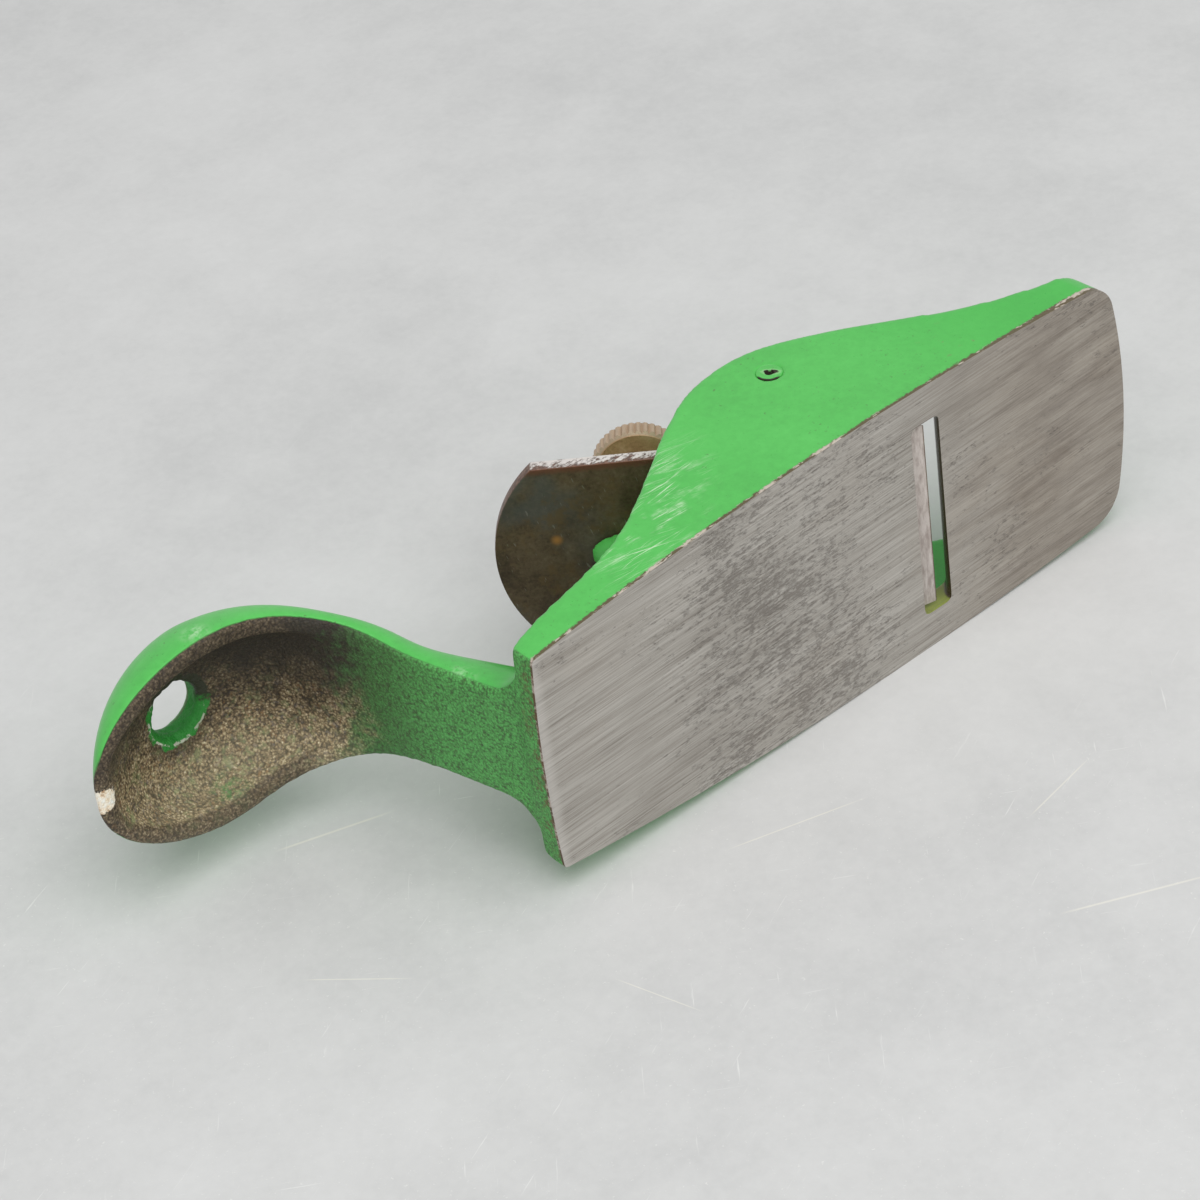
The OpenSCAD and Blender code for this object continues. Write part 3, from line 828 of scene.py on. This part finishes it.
OLD_STEEL = (
    (0.33, (0.036, 0.021, 0.01)),
    (0.45, (0.085, 0.054, 0.028)),
    (0.56, (0.14, 0.094, 0.054)),
    (0.72, (0.22, 0.165, 0.11)),
)
BEVEL_STEEL = ((0.35, (0.36, 0.3, 0.27)), (0.5, (0.52, 0.46, 0.42)), (0.65, (0.64, 0.58, 0.54)))
BLUE_STEEL = (0.095, 0.1, 0.1)
BROWN_STEEL = (0.15, 0.085, 0.03)
SCRATCHED_STEEL = (0.3, 0.27, 0.23)
ORANGE_RUST = (0.5, 0.22, 0.05)
PITTED_SIDES = ((0.07, 0.035, 0.024), (0.24, 0.14, 0.1))
GROUND_SIDE = (0.74, 0.69, 0.65)
EDGE_RUST = (0.16, 0.055, 0.03)
RUST_SPOT = (-19.6, -2.5, 28.2)
# How far the bevel's face runs up the cutter for each millimetre off its top face
BEVEL_RUN = 1.96


def make_iron():
    piece = copy_of("cutter", "iron")
    pick(piece)
    bpy.ops.object.mode_set(mode="EDIT")
    bpy.ops.mesh.select_all(action="SELECT")
    bpy.ops.mesh.dissolve_limited(angle_limit=math.radians(0.5))
    bpy.ops.object.mode_set(mode="OBJECT")
    round_edges(piece, 0.16, 3, 40)
    round_shading(piece)
    return piece


def old_steel():
    f = Finish("dark old steel")
    up, across, off = bed_place(f)
    cloud = f.noise(6, 4, 0.65, seed=71)
    grit = f.noise(0.5, 4, 0.7, seed=72)
    tone = (cloud * 0.6 + grit * 0.4).ramp(*OLD_STEEL)
    blue = f.noise(9, 3, seed=73).step(0.42, 0.6) * up.step(34, 46)
    tone = (blue * 0.6).mix(tone, BLUE_STEEL)
    brown = f.noise(4, 4, 0.7, seed=74).step(0.5, 0.66)
    tone = (brown * 0.6).mix(tone, BROWN_STEEL)
    scratches = f.noise(1.0, 2, 0.5, at=f.stretched(2.6, 0.07, 2.6, (0, 0, 20)), seed=78).step(0.66, 0.7)
    tone = (scratches * 0.4).mix(tone, SCRATCHED_STEEL)
    tone = (f.near(RUST_SPOT, 1.0) * 0.85).mix(tone, ORANGE_RUST)
    normal = f.root.node("TexCoord", out="Normal")
    sideways = normal.dot((0, 1, 0)).size()
    rim = normal.dot(OFF).size().step(0.75, 0.5)
    pitted = (f.noise(0.55, 5, 0.75, at=f.stretched(0.6, 1, 1), seed=75) + (off + 0.9) * 0.1).step(0.42, 0.54)
    pitted = pitted * (sideways + (cloud - 0.5) * 0.6).step(0.72, 0.95)
    ground = pitted.mix(grit.step(0.3, 0.7).mix(*PITTED_SIDES), GROUND_SIDE)
    tone = rim.mix(tone, ground)
    rust = (across.size() + (grit - 0.5) * 1.2).step(11.5, 12.3) * (1 - rim) * off.step(-1.5, -1.7)
    tone = (rust * 0.8).mix(tone, EDGE_RUST)
    bevel = (up - off.size() * BEVEL_RUN).step(1.0, 0.7) * off.step(-0.05, -0.15)
    bright = f.noise(1.0, 4, 0.7, at=f.stretched(2, 0.5, 2), seed=76).ramp(*BEVEL_STEEL)
    tone = bevel.mix(tone, bright)
    f.set(Base_Color=tone, Roughness=cloud * 0.3 + 0.3, Metallic=(1 - rim) * (1 - bevel) * 0.3 + 0.1)
    f.bump(grit * 0.03 + f.noise(2.2, 3, seed=77) * 0.05 + pitted * rim * 0.06, 1.0)
    return f.material


iron = make_iron()
iron.data.materials.append(old_steel())
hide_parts("cutter")
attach(iron, "iron")


# Lever cap: a small casting, enamelled like the body

CAP_VOXEL = 0.2
WORN_NOSE = (0.12, 0.095, 0.07)


def make_cap():
    piece = copy_of("lever_cap", "cap")
    apply_modifier(piece, "REMESH", mode="VOXEL", voxel_size=CAP_VOXEL * MM, adaptivity=0.0)
    apply_modifier(piece, "SMOOTH", factor=0.5, iterations=10)
    round_shading(piece, 60)
    return piece


def enamelled_cap():
    f = Finish("green enamel on the lever cap")
    up = bed_place(f)[0]
    worn = (up + (f.noise(1.5, 3, seed=81) - 0.5) * 3).step(7.5, 6.2)
    tone = (worn * 0.85).mix(green_paint(f), WORN_NOSE)
    f.set(Base_Color=tone, Roughness=f.noise(2, 2, seed=82) * 0.2 + 0.32)
    f.bump(f.noise(1.6, 3, seed=83), 0.06)
    return f.material


cap = make_cap()
cap.data.materials.append(enamelled_cap())
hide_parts("lever_cap")
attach(cap, "cap")


# Thumbscrew: a cut thread with a rounded foot, riveted through a knurled brass head

TURN_STEPS = 64
THREAD_STEPS = 40
THREAD_DEEP = 0.4
RIVET_R = 1.5
SCREW_STEEL = ((0.3, (0.09, 0.07, 0.05)), (0.5, (0.28, 0.25, 0.22)), (0.7, (0.45, 0.42, 0.38)))
OLD_BRASS = ((0.3, (0.28, 0.14, 0.065)), (0.5, (0.54, 0.31, 0.16)), (0.7, (0.72, 0.47, 0.28)))
WORN_KNURL = (0.48, 0.38, 0.275)


def turned(name, profile):
    """A solid turned about the Z axis from its half outline, upwards from its foot, in millimetres."""
    deselect()
    bpy.ops.mesh.primitive_circle_add(vertices=len(profile), radius=MM, location=(0, 0, 0))
    piece = bpy.context.object
    piece.name = piece.data.name = name
    for vertex, (r, z) in zip(piece.data.vertices, profile):
        vertex.co = (r * MM, 0, z * MM)
    pick(piece)
    bpy.ops.object.mode_set(mode="EDIT")
    bpy.ops.mesh.select_all(action="SELECT")
    bpy.ops.mesh.spin(steps=TURN_STEPS, angle=2 * math.pi, center=(0, 0, 0), axis=(0, 0, 1))
    return close_up(piece)


def put_on_bed(piece, up):
    """Moves a finished piece from the origin to that place up the cutter, its axis square to the bed."""
    piece.matrix_world = BED @ Matrix.Translation((up * MM, 0, 0))
    pick(piece)
    bpy.ops.object.transform_apply(location=True, rotation=True, scale=True)


def make_stud():
    root = SCREW_R - THREAD_DEEP
    under_head = KNOB_OVER - 0.05
    head = KNOB_OVER + KNOB_T
    foot = [(0, 0.02), (0.9, 0.03), (1.3, 0.12), (root - 0.05, 0.5), (root, 0.8)]
    collar = [(root, under_head - 0.3), (SCREW_R, under_head - 0.2), (SCREW_R, under_head)]
    rivet = [
        (RIVET_R, under_head),
        (RIVET_R, head + 0.02),
        (2.35, head + 0.02),
        (2.4, head + 0.12),
        (2.2, head + 0.38),
        (RIVET_R, head + 0.56),
        (0, head + 0.6),
    ]
    piece = turned("stud", foot + collar + rivet)
    deselect()
    bpy.ops.mesh.primitive_circle_add(vertices=4, radius=MM)
    ridge = bpy.context.object
    ridge.name = "ridge"
    outline = [(root - 0.15, 0.9), (SCREW_R, 1.22), (SCREW_R, 1.32), (root - 0.15, 1.64)]
    for vertex, (r, z) in zip(ridge.data.vertices, outline):
        vertex.co = (r * MM, 0, z * MM)
    turns = int((under_head - 2.4) / PITCH)
    detail = {"iterations": turns, "steps": THREAD_STEPS, "render_steps": THREAD_STEPS}
    apply_modifier(ridge, "SCREW", axis="Z", angle=2 * math.pi, screw_offset=PITCH * MM, **detail)
    bpy.ops.object.mode_set(mode="EDIT")
    bpy.ops.mesh.select_all(action="DESELECT")
    bpy.ops.mesh.select_mode(type="EDGE")
    bpy.ops.mesh.select_non_manifold()
    bpy.ops.mesh.edge_face_add()
    bpy.ops.mesh.select_all(action="SELECT")
    bpy.ops.mesh.normals_make_consistent(inside=False)
    bpy.ops.object.mode_set(mode="OBJECT")
    apply_modifier(piece, "BOOLEAN", operation="UNION", object=ridge, solver="EXACT")
    bpy.data.objects.remove(ridge)
    round_shading(piece, 40)
    put_on_bed(piece, SCREW_UP)
    return piece


def oiled_steel():
    f = Finish("oiled screw steel", Metallic=0.85)
    grime = f.noise(1.2, 4, 0.7, seed=91)
    f.set(Base_Color=grime.ramp(*SCREW_STEEL), Roughness=grime * 0.4 + 0.2)
    f.bump(f.noise(0.5, 3, seed=92), 0.02)
    return f.material


stud = make_stud()
stud.data.materials.append(oiled_steel())
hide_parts("thumbscrew_stud")
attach(stud, "stud")


def old_brass():
    f = Finish("old brass", Metallic=0.2)
    up, across = bed_place(f)[:2]
    tarnish = f.noise(1.8, 4, 0.65, seed=95)
    fine = f.noise(0.35, 3, 0.7, seed=96)
    tone = (tarnish * 0.6 + fine * 0.4).ramp(*OLD_BRASS)
    rim = f.length(up - SCREW_UP, across, 0.0).step(5.15, 5.4)
    f.set(Base_Color=(rim * 0.8).mix(tone, WORN_KNURL), Roughness=tarnish * 0.3 + 0.28)
    f.bump(fine, 0.02)
    return f.material


knob = frame["nodes"]["thumbscrew_knob"]
knob.data.materials.clear()
knob.data.materials.append(old_brass())


# Stage: a pale table under the left cheek, seen only from the plane's side

TABLE_SIZE = 6
TABLE_TONES = ((0.35, (0.585, 0.586, 0.578)), (0.5, (0.65, 0.65, 0.64)), (0.65, (0.7, 0.7, 0.69)))
FINE_SCRATCH = (0.88, 0.88, 0.86)
LONG_SCRATCH = (0.9, 0.87, 0.76)
PALE_GRIT = (0.88, 0.88, 0.85)
# Runs of fine scratches: turn in degrees, stretch and seed
TABLE_RUNS = ((23, 0.09, 13), (50, 0.09, 14), (-35, 0.09, 15))
# The longest scratches in the table: start, end and width, in X and Z
TABLE_SCRATCHES = (
    ((-64, 31.5), (-49, 26), 0.28),
    ((-14, -43), (4, -52.5), 0.25),
    ((-30, -8), (-12, -14), 0.15),
    ((-4, -30), (9, -28), 0.15),
    ((22, -36), (33, -46), 0.18),
    ((-75, 12), (-66, 2), 0.15),
    ((-52, -14), (-49, -26), 0.12),
)
# How much of the light comes through the table to the cheek that lies on it
LIGHT_THROUGH = 0.55


def make_table():
    deselect()
    upright = (math.radians(90), 0, 0)
    bpy.ops.mesh.primitive_plane_add(size=TABLE_SIZE, location=(0, HALF_W * MM, 0), rotation=upright)
    table = bpy.context.object
    table.name = "table"
    bpy.ops.object.transform_apply(location=True, rotation=True, scale=True)
    f = Finish("pale table", Roughness=0.6, Specular_IOR_Level=0.3)
    drift = f.noise(60, 3, 0.6, seed=1) * 0.5 + f.noise(9, 4, 0.65, seed=2) * 0.3
    tone = (drift + f.noise(1.2, 3, 0.6, seed=3) * 0.2).ramp(*TABLE_TONES)
    fine = f.scratches(TABLE_RUNS, 1.8, 0.65, 0.71)
    fine = fine * f.noise(18, 2, seed=16).step(0.4, 0.6) * ((f.x + f.z).step(25, -15) * 0.4 + 0.08)
    tone = fine.mix(tone, FINE_SCRATCH)
    long = most_of(f.streak(*scratch) for scratch in TABLE_SCRATCHES)
    tone = (long * 0.5).mix(tone, LONG_SCRATCH)
    grit = f.noise(0.4, 3, 0.6, seed=17).step(0.64, 0.7) * (f.x + f.z).step(10, -30)
    f.set(Base_Color=(grit * 0.4).mix(tone, PALE_GRIT))
    # Clear from behind. It lets some light through to the cheek, which would be black in a view from behind
    behind = f.root.node("NewGeometry", out="Backfacing")
    under_cheek = f.x.step(-47, -44) * f.x.step(47, 44) * f.z.step(0, 1.5) * f.z.step(26, 22)
    hidden = behind.most(under_cheek * (1 - f.root.shown()) * LIGHT_THROUGH)
    solid = Wire(f.tree, f.shader.outputs[0])
    surface = f.root.node("MixShader", sockets={0: hidden, 1: solid, 2: f.root.node("BsdfTransparent")})
    f.tree.links.new(surface.socket, f.tree.nodes["Material Output"].inputs["Surface"])
    table.data.materials.append(f.material)


make_table()

# Camera, as the photograph was taken: its axes, its place, and its focal length in the frame's pixels
RIGHT = Vector((0.74065337, 0.11764691, -0.66150721))
DOWN = Vector((-0.46709697, 0.79786907, -0.38108446))
FORWARD = Vector((0.48296273, 0.5912395, 0.64589694))
CAMERA_PLACE = (-0.22270, -0.24555, -0.24996)
FOCAL_PX = 3631.94
FRAME_PX = 1200
SENSOR_MM = 36.0
camera_data = bpy.data.cameras.new("camera")
camera_data.sensor_width = SENSOR_MM
camera_data.lens = FOCAL_PX / FRAME_PX * SENSOR_MM
camera_data.clip_start = 0.01
camera_data.clip_end = 10
camera = bpy.data.objects.new("camera", camera_data)
bpy.context.scene.collection.objects.link(camera)
turn = Matrix((RIGHT, -DOWN, -FORWARD)).transposed()
camera.matrix_world = Matrix.Translation(CAMERA_PLACE) @ turn.to_4x4()
bpy.context.scene.camera = camera


# Light: an even pale room and one large soft lamp over the table

ROOM_LIGHT = {"Color": (0.97, 0.985, 1.0, 1), "Strength": 0.44}
ROOM_SEEN = {"Color": (0.66, 0.67, 0.67, 1), "Strength": 1.0}
WINDOW_WAY = Vector((-0.12, -1.0, -0.5)).normalized()
WINDOW_FAR = 1.2
WINDOW_SIZE = 1.7
WINDOW_POWER = 14.5


def light_room():
    world = bpy.data.worlds.new("pale room")
    bpy.context.scene.world = world
    world.use_nodes = True
    tree = world.node_tree
    tree.nodes.clear()
    w = Wire(tree)
    light = w.node("Background", sockets=ROOM_LIGHT)
    backdrop = w.node("Background", sockets=ROOM_SEEN)
    both = w.node("MixShader", sockets={0: w.shown(), 1: light, 2: backdrop})
    out = tree.nodes.new("ShaderNodeOutputWorld")
    tree.links.new(both.socket, out.inputs["Surface"])


def hang_window():
    data = bpy.data.lights.new("window", "AREA")
    data.shape, data.size, data.energy = "DISK", WINDOW_SIZE, WINDOW_POWER
    lamp = bpy.data.objects.new("window", data)
    bpy.context.scene.collection.objects.link(lamp)
    lamp.location = WINDOW_WAY * WINDOW_FAR
    lamp.rotation_mode = "QUATERNION"
    lamp.rotation_quaternion = WINDOW_WAY.to_track_quat("Z", "Y")


light_room()
hang_window()

bpy.context.scene.view_settings.view_transform = "Standard"
